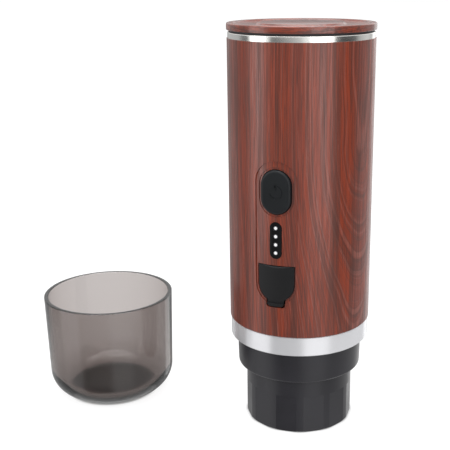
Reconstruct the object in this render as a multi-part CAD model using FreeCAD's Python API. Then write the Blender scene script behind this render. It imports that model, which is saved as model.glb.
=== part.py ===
import FreeCAD, Part
import math
import os

# Portable electric espresso maker, in millimetres.
# The origin is the centre of the foot of the capsule holder, +Z is up, and the button faces -Y.
# The cup stands beside the machine, on the same surface.

V = FreeCAD.Vector

# Basket, capsule holder and brew collar, each round the one before
basket_radius = 23.4
basket_taper = 0.8
basket_depth = 22.0
basket_wall = 0.7
basket_foot_round = 2.0
basket_rim_thickness = 1.0
basket_rim_inset = 1.2
basket_hole_radius = 0.55
basket_hole_margin = 9.1
basket_hole_rows = 3
basket_side_gap = 0.5
holder_wall = 3.7
holder_height = 29.7
holder_floor_z = 14.0
holder_floor_thickness = 3.0
holder_floor_slope = 0.8
holder_skirt_wall = 2.5
holder_recess_round = 2.0
holder_edge_round = 0.6
holder_foot_round = 0.8
outlet_hole_radius = 3.2
nozzle_radius = 4.6
nozzle_taper = 1.0
nozzle_bore = 2.2
nozzle_bottom = 4.0
nozzle_edge_round = 0.4
nozzle_gap = 0.1
grip_count = 12
grip_flat_depth = 0.52
grip_height = 19.7
grip_turn = 5.2
thread_room = 0.8
collar_wall = 3.4
collar_taper = 0.45
collar_height = 16.1
collar_edge_round = 1.0

# Shower plate and gasket in the brew head
gasket_inset = 1.2
gasket_width = 4.8
gasket_height = 3.6
shower_thickness = 3.0
shower_pocket_depth = 1.5
shower_rim = 1.0
shower_hole_radius = 0.6
shower_hole_margin = 4.8
shower_hole_rows = 3
needle_count = 3
needle_circle = 8.6
needle_radius = 1.3
needle_tip_radius = 0.2
needle_length = 3.2

# Barrel: ring, shell, steel band and lid
flange_step = 0.75
chassis_gap = 0.2
shell_wall = 2.8
shell_height = 141.3
shell_edge_bevel = 0.4
ring_inset = 0.5
ring_height = 10.0
ring_chamfer = 0.4
ring_lip_height = 1.0
ring_lip_gap = 0.2
brew_plate_thickness = 3.0
band_inset = 0.4
band_height = 2.9
band_edge_round = 0.5
band_spigot_wall = 0.8
band_spigot_depth = 5.1
lid_overhang = 0.2
lid_height = 3.3
lid_edge_round = 1.0
lid_groove_round = 0.3
lid_rim_width = 3.6
lid_channel_depth = 0.8
lid_channel_width = 11.6
lid_seal_height = 0.9
lid_seal_inset = 0.6
lid_seal_width = 4.8

# How far a cut is carried past the outside of a part
cut_margin = 1.0

# Shallow front panel and what sits in it, from the top of the panel down
panel_depth = 0.45
panel_width = 21.2
panel_top = 143.2
pad_depth = 4.4
pad_overhang = 3.0
button_below_top = 14.9
button_width = 15.0
button_length = 21.5
button_rise = 0.9
button_edge_round = 1.3
button_gap = 0.25
button_surround = 1.2
button_surround_depth = 0.35
button_lip = 1.05
button_lip_thickness = 1.0
button_travel_gap = 0.1
button_stem_radius = 2.6
button_stem_length = 0.4
window_below_button = 23.55
window_width = 6.0
window_length = 18.1
window_rise = 0.1
window_gap = 0.1
window_lip = 1.2
window_lip_thickness = 0.8
led_spacing = 4.1
led_count = 4
flap_below_window = 12.6
flap_width = 18.0
flap_straight = 9.3
flap_thickness = 2.75
flap_rise = 0.3
flap_gap = 0.15
flap_back_gap = 0.1
flap_surround = 0.6
flap_surround_depth = 0.35
flap_tab_width = 8.3
flap_tab_reach = 2.2
flap_tab_round = 1.5
flap_lip_height = 1.7
flap_lip_rise = 0.6
flap_plug_width = 7.8
flap_plug_height = 2.1
flap_plug_length = 0.9
finger_gap = 0.7
socket_above_round = 0.15
socket_width = 8.94
socket_height = 3.26
socket_skin = 0.3
socket_tongue_width = 6.6
socket_tongue_height = 0.7
socket_tongue_setback = 1.3
socket_back = 1.2
socket_gap = 0.12

# Lid plug, tank and heater
plug_gap = 0.4
plug_wall = 1.6
plug_depth = 11.9
plug_edge_round = 1.0
plug_flange_inset = 1.0
plug_flange_thickness = 1.2
plug_flange_gap = 0.2
valve_head_radius = 4.0
valve_head_thickness = 0.8
valve_stem_radius = 1.5
valve_bead = 0.9
band_bore_gap = 0.4
tank_side_gap = 1.6
tank_wall = 0.8
tank_floor_thickness = 1.5
tank_floor_round = 3.0
tank_depth = 41.5
tank_flange_gap = 0.2
tank_flange_thickness = 0.8
tank_seal_thickness = 0.6
tank_seal_gap = 0.4
heater_thickness = 3.0
heater_inset = 2.8
heater_gap = 0.2
sensor_radius = 2.2
sensor_height = 3.5
sensor_y = -8.0
fuse_radius = 1.9
fuse_length = 10.0
fuse_y = 9.0

# Chassis and cells
chassis_wall = 1.6
plate_thickness = 3.0
rim_above_ring = 4.0
cell_radius = 9.15
cell_length = 65.0
cell_side_gap = 1.15
cell_angles = (90, 210, 330)
cell_gap = 0.1
cell_above_plate = 9.0
cell_terminal_radius = 3.0
cell_terminal_height = 0.5
pocket_wall = 1.35
pocket_depth = 4.0
link_thickness = 0.3
link_width = 3.0
link_tab_width = 5.0
link_gap = 0.2
link_tube_gap = 0.7
rear_post_angles = (30, 150)
post_radius = 2.6
post_rim_gap = 0.8
post_board_gap = 1.0
post_board_step = 1.2
post_rib_reach = 7.0
post_rib_thickness = 1.8
post_rib_drop = 1.0
screw_radius = 1.0
screw_head_radius = 1.8
screw_head_height = 1.2
screw_length = 9.0
screw_gap = 0.05
head_screw_angles = (0, 60, 120, 180, 270)
head_screw_length = 5.0

# Control board and switch
board_half_width = 9.8
board_below_socket = 11.0
board_above_button = 9.7
board_thickness = 1.6
board_screw_edge = 1.8
board_screw_inset = 5.0
switch_side = 6.0
switch_height = 2.4
switch_floor = 0.3
switch_nub_radius = 1.7
switch_nub_gap = 0.1
switch_nub_length = 2.0
switch_nub_showing = 1.1
led_size = 1.6
led_height = 0.8
guide_bar_width = 3.6
guide_bar_thickness = 1.0
guide_pin_radius = 0.85
guide_gap = 0.1

# Pump and motor, between the cells, hung from the top plate
pump_cell_gap = 0.75
pump_foot_thickness = 4.0
pump_foot_inset = 1.0
pedestal_inset = 2.0
pedestal_wall = 2.0
valve_body_height = 8.0
diaphragm_thickness = 1.5
pump_frame_height = 16.5
pump_frame_wall = 2.5
pump_frame_top = 3.0
pump_window_width = 10.5
pump_window_floor = 4.0
wobble_inset = 4.0
wobble_thickness = 2.0
wobble_stem_radius = 2.0
wobble_stem_height = 3.0
motor_inset = 1.0
motor_length = 30.6
motor_boss_radius = 5.0
motor_boss_height = 2.0
motor_edge_round = 1.2
shaft_radius = 1.5
shaft_gap = 0.05
shaft_below_motor = 11.0
shaft_end_gap = 0.5
shaft_hole_gap = 1.0
eccentric_radius = 6.0
eccentric_thickness = 4.0
eccentric_offset = 1.6
eccentric_pin_radius = 1.0
eccentric_pin_length = 2.5
mount_wall = 1.1
mount_below = 6.0
mount_flange_width = 1.6
mount_flange_thickness = 1.5
mount_gap = 0.05

# Water lines
tube_radius = 2.8
tube_bore = 1.8
tube_gap = 0.05
tube_post_gap = 1.7
tube_bend = 6.0
tube_hole_gap = 0.5
tube_nipple_gap = 0.2
inlet_angle = 150
outlet_angle = 30
nipple_bore = 1.1
fitting_flange_radius = 3.4
fitting_flange_thickness = 0.8
fitting_reach = 9.0
check_valve_radius = 4.0
check_valve_height = 6.2
check_valve_nipple = 6.0
check_valve_gap = 0.3

# Cup
cup_x = -108.0
cup_y = -11.7
cup_rim_radius = 35.0
cup_taper = 1.35
cup_height = 56.8
cup_wall = 2.2
cup_floor = 4.0
cup_foot_round = 13.9
cup_rim_round = 0.9

# Radii, from the basket out to the barrel and back in to the pump
basket_foot_radius = basket_radius - basket_taper
holder_bore_radius = basket_radius + basket_side_gap
holder_radius = holder_bore_radius + holder_wall
basket_rim_radius = holder_radius - basket_rim_inset
collar_bore_radius = holder_radius + thread_room
collar_bottom_radius = collar_bore_radius + collar_wall
collar_top_radius = collar_bottom_radius + collar_taper
gasket_outer = collar_bore_radius - gasket_inset
shower_radius = gasket_outer - gasket_width
chassis_radius = collar_top_radius + flange_step
chassis_bore = chassis_radius - chassis_wall
shell_bore = chassis_radius + chassis_gap
body_radius = shell_bore + shell_wall
ring_radius = body_radius - ring_inset
band_radius = body_radius - band_inset
lid_radius = body_radius + lid_overhang
lid_channel_outer = lid_radius - lid_rim_width
lid_disc_radius = lid_channel_outer - lid_channel_width
tank_radius = chassis_bore - tank_side_gap - tank_wall
tank_flange_radius = chassis_radius - band_spigot_wall - tank_flange_gap
band_bore_radius = tank_radius + band_bore_gap
plug_radius = tank_radius - plug_gap
plug_flange_radius = band_radius - plug_flange_inset
heater_radius = tank_radius + tank_wall - heater_inset
cell_circle = shell_bore - cell_side_gap - cell_radius
pump_radius = cell_circle - cell_radius - pump_cell_gap
pump_cavity_radius = pump_radius - pump_frame_wall
motor_radius = pump_radius - motor_inset
rear_post_circle = chassis_radius - post_rim_gap - post_radius
head_screw_circle = rear_post_circle
tube_circle = rear_post_circle - post_radius - tube_post_gap - tube_radius
link_outer = tube_circle - tube_radius - link_tube_gap
link_inner = link_outer - link_width

# Heights, from the foot up
collar_bottom = holder_height
ring_bottom = collar_bottom + collar_height
shell_bottom = ring_bottom + ring_height
shell_top = shell_bottom + shell_height
band_top = shell_top + band_height
lid_bottom = band_top + lid_seal_height
lid_top = lid_bottom + lid_height
brew_ceiling = ring_bottom + ring_lip_height
brew_top = brew_ceiling + brew_plate_thickness
base_top = brew_top + plate_thickness
holder_top = brew_ceiling - gasket_height - basket_rim_thickness
basket_bottom = holder_top - basket_depth
cell_bottom = base_top + cell_above_plate
cell_top = cell_bottom + cell_length
chassis_split = cell_top + link_thickness + cell_gap
top_plate_top = chassis_split + plate_thickness
motor_top = top_plate_top
motor_bottom = motor_top - motor_length
pump_frame_bottom = motor_bottom - pump_frame_height
diaphragm_bottom = pump_frame_bottom - diaphragm_thickness
valve_body_bottom = diaphragm_bottom - valve_body_height
pump_foot_bottom = valve_body_bottom - pump_foot_thickness
port_z = valve_body_bottom + valve_body_height / 2
tank_flange_top = shell_top - tank_seal_thickness
tank_floor_z = tank_flange_top - tank_depth
tank_bottom = tank_floor_z - tank_floor_thickness
heater_bottom = tank_bottom - heater_thickness
plug_bottom = lid_bottom - plug_depth

# Places on the front panel
button_z = panel_top - button_below_top
window_z = button_z - window_below_button
flap_top = window_z - flap_below_window
flap_round_z = flap_top - flap_straight
socket_z = flap_round_z + socket_above_round
flap_tab_bottom = flap_round_z - flap_width / 2 - flap_tab_reach
panel_bottom = flap_round_z - panel_width / 2
board_bottom = socket_z - board_below_socket
board_top = button_z + board_above_button

# Planes behind the front panel, from the front back
panel_radius = body_radius - panel_depth
pad_y = -(body_radius - pad_depth)
pad_half_width = math.sqrt(shell_bore ** 2 - pad_y ** 2)
button_front_y = -(panel_radius + button_rise)
button_back_y = pad_y + button_travel_gap + button_lip_thickness
nub_front_y = button_back_y + button_stem_length
switch_front_y = nub_front_y + switch_nub_showing
board_y = switch_front_y + switch_height
board_back_y = board_y + board_thickness
flap_radius = panel_radius + flap_rise
flap_back_y = flap_thickness - flap_radius
flap_axis_y = flap_thickness / 2 - flap_radius
flap_axis_z = flap_top - flap_thickness / 2
recess_y = flap_back_y + flap_back_gap
front_post_x = board_half_width + post_board_gap + post_radius
front_post_y = board_back_y - post_board_step
board_screw_x = board_half_width - board_screw_edge


# Shared shapes

def outline(points):
    """Closed wire in the XZ plane through (x, z) or (x, z, corner radius)."""
    corners = [V(point[0], 0, point[1]) for point in points]
    radii = [point[2] if len(point) > 2 else 0 for point in points]
    entries, exits, arcs = [], [], []
    for i, corner in enumerate(corners):
        if radii[i] == 0:
            entries.append(corner)
            exits.append(corner)
            arcs.append(None)
            continue
        back = (corners[i - 1] - corner).normalize()
        ahead = (corners[(i + 1) % len(corners)] - corner).normalize()
        half = back.getAngle(ahead) / 2
        middle = (back + ahead).normalize()
        entries.append(corner + back * (radii[i] / math.tan(half)))
        exits.append(corner + ahead * (radii[i] / math.tan(half)))
        nearest = corner + middle * (radii[i] / math.sin(half) - radii[i])
        arcs.append(Part.Arc(entries[i], nearest, exits[i]).toShape())
    edges = []
    for i in range(len(corners)):
        if arcs[i]:
            edges.append(arcs[i])
        start, end = exits[i], entries[(i + 1) % len(corners)]
        if start.distanceToPoint(end) > 1e-6:
            edges.append(Part.makeLine(start, end))
    return Part.Wire(edges)


def turned(points):
    """Solid of revolution about the Z axis from (radius, z) points."""
    return Part.Face(outline(points)).revolve(V(0, 0, 0), V(0, 0, 1), 360)


def ring(inner, outer, bottom, top):
    return turned([(inner, bottom), (outer, bottom), (outer, top), (inner, top)])


def drum(radius, bottom, top, x=0, y=0):
    return Part.makeCylinder(radius, top - bottom, V(x, y, bottom))


def block(x, y, z):
    """Box between the pairs of limits x, y and z."""
    return Part.makeBox(x[1] - x[0], y[1] - y[0], z[1] - z[0], V(x[0], y[0], z[0]))


def extruded(points, front, back):
    """Prism along Y whose section is given in the XZ plane."""
    face = Part.Face(outline(points))
    face.translate(V(0, front, 0))
    return face.extrude(V(0, back - front, 0))


def stadium(width, length, z):
    """Section with straight sides and round ends, upright."""
    x, half = width / 2, length / 2
    return [(-x, z - half, x), (x, z - half, x), (x, z + half, x), (-x, z + half, x)]


def polar(radius, angle):
    turn = math.radians(angle)
    return radius * math.cos(turn), radius * math.sin(turn)


def front_rod(radius, x, z, front, back):
    return Part.makeCylinder(radius, back - front, V(x, front, z), V(0, 1, 0))


def screw(x, y, seat, length, up=1):
    """Screw along Z whose head stands on the seat and whose shank goes the other way."""
    head = Part.makeCylinder(screw_head_radius, screw_head_height, V(x, y, seat), V(0, 0, up))
    shank = Part.makeCylinder(screw_radius, length, V(x, y, seat), V(0, 0, -up))
    return head.fuse(shank).removeSplitter()


def post_places():
    """Centres of the four chassis posts."""
    rear = [polar(rear_post_circle, angle) for angle in rear_post_angles]
    return rear + [(-front_post_x, front_post_y), (front_post_x, front_post_y)]


def hole_places(rows, outer):
    """A middle hole and rings of 6, 12, 18 and so on out to the outer radius."""
    places = [(0, 0)]
    for row in range(1, rows + 1):
        for i in range(6 * row):
            places.append(polar(outer * row / rows, 60 * i / row))
    return places


# Lid

def lid_cap():
    lip = plug_flange_radius + plug_flange_gap
    under = lid_bottom + plug_flange_thickness
    floor = lid_top - lid_channel_depth
    slope = lid_channel_depth
    return turned([
        (0, under), (lip, under), (lip, lid_bottom),
        (lid_radius, lid_bottom, lid_edge_round / 2), (lid_radius, lid_top, lid_edge_round),
        (lid_channel_outer + slope, lid_top, lid_groove_round),
        (lid_channel_outer, floor, lid_groove_round), (lid_disc_radius + slope, floor, lid_groove_round),
        (lid_disc_radius, lid_top, lid_groove_round), (0, lid_top)])


def lid_plug():
    top = lid_bottom + plug_flange_thickness
    bore = plug_radius - plug_wall
    floor = plug_bottom + plug_wall
    plug = turned([
        (0, plug_bottom), (plug_radius, plug_bottom, plug_edge_round), (plug_radius, lid_bottom),
        (plug_flange_radius, lid_bottom), (plug_flange_radius, top), (bore, top),
        (bore, floor), (0, floor)])
    return plug.cut(drum(valve_stem_radius, plug_bottom, floor))


def lid_vent_valve():
    floor = plug_bottom + plug_wall
    return turned([
        (0, plug_bottom - valve_head_thickness), (valve_head_radius, plug_bottom - valve_head_thickness),
        (valve_head_radius, plug_bottom), (valve_stem_radius, plug_bottom), (valve_stem_radius, floor),
        (valve_stem_radius + valve_bead, floor), (valve_stem_radius, floor + valve_head_thickness),
        (0, floor + valve_head_thickness)])


def lid_seal():
    outer = band_radius - lid_seal_inset
    return ring(outer - lid_seal_width, outer, band_top, lid_bottom)


# Tank and heater

def top_band():
    spigot = chassis_radius - band_spigot_wall
    foot = shell_top - band_spigot_depth
    return turned([
        (band_bore_radius, shell_top), (spigot, shell_top), (spigot, foot), (chassis_radius, foot),
        (chassis_radius, shell_top), (band_radius, shell_top), (band_radius, band_top, band_edge_round),
        (band_bore_radius, band_top)])


def tank_seal():
    return ring(band_bore_radius + tank_seal_gap, tank_flange_radius, tank_flange_top, shell_top)


def water_tank():
    outer = tank_radius + tank_wall
    under = tank_flange_top - tank_flange_thickness
    tank = turned([
        (0, tank_bottom), (outer, tank_bottom, tank_floor_round), (outer, under),
        (tank_flange_radius, under), (tank_flange_radius, tank_flange_top), (tank_radius, tank_flange_top),
        (tank_radius, tank_floor_z, tank_floor_round), (0, tank_floor_z)])
    x, y = polar(tube_circle, inlet_angle)
    return tank.cut(drum(tube_bore + tube_gap, tank_bottom, tank_floor_z, x, y))


def tank_outlet_fitting():
    x, y = polar(tube_circle, inlet_angle)
    flange = drum(fitting_flange_radius, tank_floor_z, tank_floor_z + fitting_flange_thickness, x, y)
    stem = drum(tube_bore, tank_bottom - fitting_reach, tank_floor_z, x, y)
    bore = drum(nipple_bore, tank_bottom - fitting_reach, tank_floor_z + fitting_flange_thickness, x, y)
    return flange.fuse(stem).cut(bore)


def tank_heater():
    x, y = polar(tube_circle, inlet_angle)
    plate = drum(heater_radius, heater_bottom, tank_bottom)
    return plate.cut(drum(tube_bore + tube_hole_gap, heater_bottom, tank_bottom, x, y))


def temperature_sensor():
    return drum(sensor_radius, heater_bottom - sensor_height, heater_bottom, 0, sensor_y)


def thermal_fuse():
    start = V(-fuse_length / 2, fuse_y, heater_bottom - fuse_radius)
    return Part.makeCylinder(fuse_radius, fuse_length, start, V(1, 0, 0))


# Shell and front panel

def sunk(points, radius):
    """What a cutter with this outline takes off the front of the barrel, down to a radius."""
    return extruded(points, -body_radius - cut_margin, 0).cut(drum(radius, shell_bottom, shell_top))


def domed(points, radius, back):
    """Piece with this outline whose front follows the barrel at a radius and whose back is flat."""
    return extruded(points, -radius - cut_margin, back).common(drum(radius, shell_bottom, shell_top))


def flap_section(gap=0):
    """The D of the flap, straight on top, round below."""
    x, half = flap_width / 2 + gap, flap_width / 2 + gap
    bottom = flap_round_z - half
    return [(-x, bottom, half), (x, bottom, half), (x, flap_top + min(gap, flap_gap)),
            (-x, flap_top + min(gap, flap_gap))]


def tab_section(gap=0):
    x, bottom = flap_tab_width / 2 + gap, flap_tab_bottom - gap
    return [(-x, bottom, flap_tab_round), (x, bottom, flap_tab_round), (x, flap_round_z), (-x, flap_round_z)]


def lip_section():
    """The band along the foot of the tab that a fingernail catches."""
    x = flap_tab_width / 2
    top = flap_tab_bottom + flap_lip_height
    return [(-x, flap_tab_bottom, flap_tab_round), (x, flap_tab_bottom, flap_tab_round), (x, top), (-x, top)]


def socket_section(width, height):
    x, half = width / 2, height / 2
    return [(-x, socket_z - half, half), (x, socket_z - half, half),
            (x, socket_z + half, half), (-x, socket_z + half, half)]


def outer_shell():
    tube = turned([
        (shell_bore, shell_bottom), (body_radius, shell_bottom, shell_edge_bevel),
        (body_radius, shell_top), (shell_bore, shell_top)])
    pad_range = (panel_bottom - pad_overhang, panel_top + pad_overhang)
    inside = drum(shell_bore, pad_range[0], pad_range[1])
    pad = inside.common(block((-body_radius, body_radius), (-body_radius, pad_y), pad_range))
    shell = tube.fuse(pad).removeSplitter()
    outside = -body_radius - cut_margin
    panel = stadium(panel_width, panel_top - panel_bottom, (panel_top + panel_bottom) / 2)
    button = stadium(button_width + 2 * button_gap, button_length + 2 * button_gap, button_z)
    surround = stadium(button_width + 2 * button_surround, button_length + 2 * button_surround, button_z)
    window = stadium(window_width + 2 * window_gap, window_length + 2 * window_gap, window_z)
    socket = socket_section(socket_width + 2 * socket_gap, socket_height + 2 * socket_gap)
    cuts = [
        sunk(panel, panel_radius),
        sunk(surround, panel_radius - button_surround_depth),
        sunk(flap_section(flap_surround), panel_radius - flap_surround_depth),
        extruded(button, outside, pad_y),
        extruded(window, outside, pad_y),
        extruded(flap_section(flap_gap), outside, recess_y),
        extruded(tab_section(finger_gap), outside, recess_y),
        extruded(socket, outside, pad_y)]
    for cut in cuts:
        shell = shell.cut(cut)
    return shell


def power_button():
    cap = extruded(stadium(button_width, button_length, button_z), button_front_y, pad_y + button_travel_gap)
    rim = [edge for edge in cap.Edges if abs(edge.BoundBox.YMin - button_front_y) < 1e-4
           and abs(edge.BoundBox.YMax - button_front_y) < 1e-4]
    cap = cap.makeFillet(button_edge_round, rim)
    lip = extruded(
        stadium(button_width + 2 * button_lip, button_length + 2 * button_lip, button_z),
        pad_y + button_travel_gap, button_back_y)
    stem = front_rod(button_stem_radius, 0, button_z, button_back_y, nub_front_y)
    return cap.fuse([lip, stem])


def switch_plunger():
    return front_rod(switch_nub_radius, 0, button_z, nub_front_y, nub_front_y + switch_nub_length)


def tactile_switch():
    half = switch_side / 2
    body = block((-half, half), (switch_front_y, board_y), (button_z - half, button_z + half))
    return body.cut(front_rod(switch_nub_radius + switch_nub_gap, 0, button_z, switch_front_y,
                              board_y - switch_floor))


def indicator_window():
    front = domed(stadium(window_width, window_length, window_z), panel_radius + window_rise, pad_y)
    lip = extruded(stadium(window_width + 2 * window_lip, window_length + 2 * window_lip, window_z),
                   pad_y, pad_y + window_lip_thickness)
    return front.fuse(lip)


def led_heights():
    middle = (led_count - 1) / 2
    return [window_z + (i - middle) * led_spacing for i in range(led_count)]


def light_guide():
    front = pad_y + window_lip_thickness + guide_gap
    back = board_y - led_height - guide_gap
    length = window_length - window_lip
    guide = extruded(stadium(guide_bar_width, length, window_z), back - guide_bar_thickness, back)
    for z in led_heights():
        guide = guide.fuse(front_rod(guide_pin_radius, 0, z, front, back - guide_bar_thickness))
    return guide


def indicator_leds():
    half = led_size / 2
    return Part.makeCompound([
        block((-half, half), (board_y - led_height, board_y), (z - half, z + half)) for z in led_heights()])


def board_screw_places():
    heights = (board_bottom + board_screw_inset, chassis_split - board_screw_inset)
    return [(x, z) for x in (-board_screw_x, board_screw_x) for z in heights]


def control_board():
    board = block((-board_half_width, board_half_width), (board_y, board_back_y), (board_bottom, board_top))
    for x, z in board_screw_places():
        board = board.cut(front_rod(screw_radius + screw_gap, x, z, board_y, board_back_y))
    return board


def board_screws():
    screws = []
    for x, z in board_screw_places():
        head = front_rod(screw_head_radius, x, z, board_y - screw_head_height, board_y)
        end = board_back_y + post_rib_thickness
        screws.append(head.fuse(front_rod(screw_radius, x, z, board_y, end)))
    return Part.makeCompound(screws)


def usb_socket():
    shell = extruded(socket_section(socket_width, socket_height), recess_y, board_y)
    hollow = socket_section(socket_width - 2 * socket_skin, socket_height - 2 * socket_skin)
    shell = shell.cut(extruded(hollow, recess_y, board_y - socket_back))
    half_width, half_height = socket_tongue_width / 2, socket_tongue_height / 2
    tongue = block((-half_width, half_width), (recess_y + socket_tongue_setback, board_y - socket_back),
                   (socket_z - half_height, socket_z + half_height))
    return shell.fuse(tongue)


def usb_flap():
    half = flap_thickness / 2
    flat = [(-flap_width / 2, flap_round_z - flap_width / 2, flap_width / 2),
            (flap_width / 2, flap_round_z - flap_width / 2, flap_width / 2),
            (flap_width / 2, flap_axis_z), (-flap_width / 2, flap_axis_z)]
    leaf = domed(flat, flap_radius, flap_back_y)
    roll = Part.makeCylinder(half, flap_width, V(-flap_width / 2, flap_axis_y, flap_axis_z), V(1, 0, 0))
    roll = roll.common(drum(flap_radius, shell_bottom, shell_top))
    tab = domed(tab_section(), flap_radius, flap_back_y)
    lip = domed(lip_section(), flap_radius + flap_lip_rise, flap_back_y)
    plug = extruded(socket_section(flap_plug_width, flap_plug_height), flap_back_y,
                    flap_back_y + flap_plug_length)
    return leaf.fuse([roll, tab, lip, plug]).removeSplitter()


# Chassis and cells

def cell_places():
    return [polar(cell_circle, angle) for angle in cell_angles]


def chassis_base():
    rim_top = shell_bottom + rim_above_ring
    base = drum(chassis_radius, brew_top, base_top)
    parts = [ring(chassis_bore, chassis_radius, base_top, rim_top)]
    for x, y in cell_places():
        seat = drum(cell_radius + cell_gap + pocket_wall, base_top, cell_bottom + pocket_depth, x, y)
        parts.append(seat.common(drum(chassis_radius, base_top, cell_bottom + pocket_depth)))
    pedestal = pump_radius - pedestal_inset
    parts.append(drum(pedestal, base_top, pump_foot_bottom))
    for x, y in post_places():
        parts.append(drum(post_radius, base_top, chassis_split, x, y))
    for side in (-1, 1):
        xs = sorted((side * (front_post_x - post_rib_reach), side * front_post_x))
        parts.append(block(xs, (board_back_y, board_back_y + post_rib_thickness),
                           (board_bottom, chassis_split - post_rib_drop)))
    base = base.fuse(parts)
    link_seat = cell_bottom - link_thickness
    for x, y in cell_places():
        base = base.cut(drum(cell_radius + cell_gap, link_seat, cell_bottom + pocket_depth, x, y))
        base = base.cut(drum(cell_radius - pocket_wall, base_top, link_seat, x, y))
        base = base.cut(link_bar(link_seat - link_gap, cell_bottom + pocket_depth, link_gap, x, y))
    base = base.cut(ring(link_inner - link_gap, link_outer + link_gap, link_seat - link_gap,
                         cell_bottom + pocket_depth))
    base = base.cut(drum(pedestal - pedestal_wall, base_top, pump_foot_bottom - pedestal_wall))
    x, y = polar(tube_circle, outlet_angle)
    base = base.cut(drum(check_valve_radius + check_valve_gap, brew_top, base_top, x, y))
    for angle in head_screw_angles:
        x, y = polar(head_screw_circle, angle)
        base = base.cut(drum(screw_radius + screw_gap, brew_top, base_top, x, y))
    for x, y in post_places():
        hole = drum(screw_radius + screw_gap, chassis_split - screw_length, chassis_split, x, y)
        base = base.cut(hole)
    for x, z in board_screw_places():
        base = base.cut(front_rod(screw_radius + screw_gap, x, z, board_back_y,
                                  board_back_y + post_rib_thickness))
    return base.removeSplitter()


def link_bar(bottom, top, gap, x, y):
    """Bar of a cell link from the link ring out to the middle of the cell at x, y."""
    end, side = cell_circle + 2 * gap, link_tab_width / 2 + gap
    bar = block((link_inner, end), (-side, side), (bottom, top))
    bar.rotate(V(0, 0, 0), V(0, 0, 1), math.degrees(math.atan2(y, x)))
    return bar


def chassis_top():
    rim = ring(chassis_bore, chassis_radius, chassis_split, tank_bottom)
    plate = drum(chassis_radius, chassis_split, top_plate_top)
    ledge = ring(heater_radius + heater_gap, chassis_radius, heater_bottom, tank_bottom)
    parts = [rim, ledge]
    for x, y in cell_places():
        bottom = cell_top - pocket_depth
        cap = drum(cell_radius + cell_gap + pocket_wall, bottom, chassis_split, x, y)
        parts.append(cap.common(drum(chassis_radius, bottom, chassis_split)))
    top = plate.fuse(parts)
    for x, y in cell_places():
        top = top.cut(drum(cell_radius + cell_gap, cell_top - pocket_depth, chassis_split, x, y))
    link_room = ring(link_inner - link_gap, link_outer + link_gap, cell_top - link_gap, chassis_split)
    top = top.cut(link_room)
    hole = motor_radius + mount_wall + mount_gap
    top = top.cut(drum(hole, cell_top - pocket_depth, top_plate_top))
    x, y = polar(tube_circle, inlet_angle)
    top = top.cut(drum(tube_radius + tube_hole_gap, chassis_split, top_plate_top, x, y))
    front = (-body_radius, board_back_y + tube_hole_gap)
    notch = (cell_top - pocket_depth, panel_top + pad_overhang + tube_hole_gap)
    half = pad_half_width + button_lip
    top = top.cut(block((-half, half), front, notch))
    for x, y in post_places():
        top = top.cut(drum(screw_radius + screw_gap, chassis_split, top_plate_top, x, y))
    return top.removeSplitter()


def chassis_screws():
    return Part.makeCompound([
        screw(x, y, top_plate_top, screw_length) for x, y in post_places()])


def battery_cell(x, y):
    can = turned([(0, cell_bottom), (cell_radius, cell_bottom),
                  (cell_radius, cell_top - cell_terminal_height), (0, cell_top - cell_terminal_height)])
    terminal = drum(cell_terminal_radius, cell_top - cell_terminal_height, cell_top)
    cell = can.fuse(terminal)
    cell.translate(V(x, y, 0))
    return cell


def cell_links():
    """One welded strip joins the three tops, another the three bottoms."""
    links = []
    for bottom in (cell_bottom - link_thickness, cell_top):
        link = ring(link_inner, link_outer, bottom, bottom + link_thickness)
        for x, y in cell_places():
            link = link.fuse(link_bar(bottom, bottom + link_thickness, 0, x, y))
        links.append(link.removeSplitter())
    return Part.makeCompound(links)


# Pump

def pump_foot():
    return drum(pump_radius - pump_foot_inset, pump_foot_bottom, valve_body_bottom)


def pump_valve_body():
    body = drum(pump_radius, valve_body_bottom, diaphragm_bottom)
    reach = tube_circle - tube_bend - tube_nipple_gap
    ways = [V(*polar(1, angle), 0) for angle in (inlet_angle, outlet_angle)]
    middle = V(0, 0, port_z)
    for way in ways:
        body = body.fuse(Part.makeCylinder(tube_bore, reach - motor_radius, middle + way * motor_radius, way))
    for way in ways:
        body = body.cut(Part.makeCylinder(nipple_bore, pump_radius, middle + way * pump_radius / 2, way))
    return body


def pump_diaphragm():
    return drum(pump_radius, diaphragm_bottom, pump_frame_bottom)


def wobble_plate():
    bottom = pump_frame_bottom
    plate = drum(pump_radius - wobble_inset, bottom, bottom + wobble_thickness)
    top = bottom + wobble_thickness + wobble_stem_height
    return plate.fuse(drum(wobble_stem_radius, bottom + wobble_thickness, top))


def pump_frame():
    """Open frame between the diaphragm and the motor, with a window on each side."""
    roof = motor_bottom - pump_frame_top
    frame = drum(pump_radius, pump_frame_bottom, motor_bottom)
    frame = frame.cut(drum(pump_cavity_radius, pump_frame_bottom, roof))
    frame = frame.cut(drum(shaft_radius + shaft_hole_gap, roof, motor_bottom))
    half = pump_window_width / 2
    window = block((-half, half), (-pump_radius, pump_radius), (pump_frame_bottom + pump_window_floor, roof))
    return frame.cut(window)


def pump_motor():
    can = turned([(0, motor_bottom), (motor_radius, motor_bottom),
                  (motor_radius, motor_top, motor_edge_round), (motor_boss_radius, motor_top),
                  (motor_boss_radius, motor_top + motor_boss_height), (0, motor_top + motor_boss_height)])
    end = motor_top + motor_boss_height - shaft_end_gap
    return can.cut(drum(shaft_radius + shaft_gap, motor_bottom, end))


def motor_shaft():
    top = motor_top + motor_boss_height - 2 * shaft_end_gap
    return drum(shaft_radius, motor_bottom - shaft_below_motor, top)


def pump_eccentric():
    bottom = motor_bottom - shaft_below_motor
    hub = drum(eccentric_radius, bottom, bottom + eccentric_thickness, eccentric_offset, 0)
    hub = hub.cut(drum(shaft_radius, bottom, bottom + eccentric_thickness))
    x = 2 * eccentric_offset
    pin = drum(eccentric_pin_radius, bottom - eccentric_pin_length, bottom, x, 0)
    return hub.fuse(pin)


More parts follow.
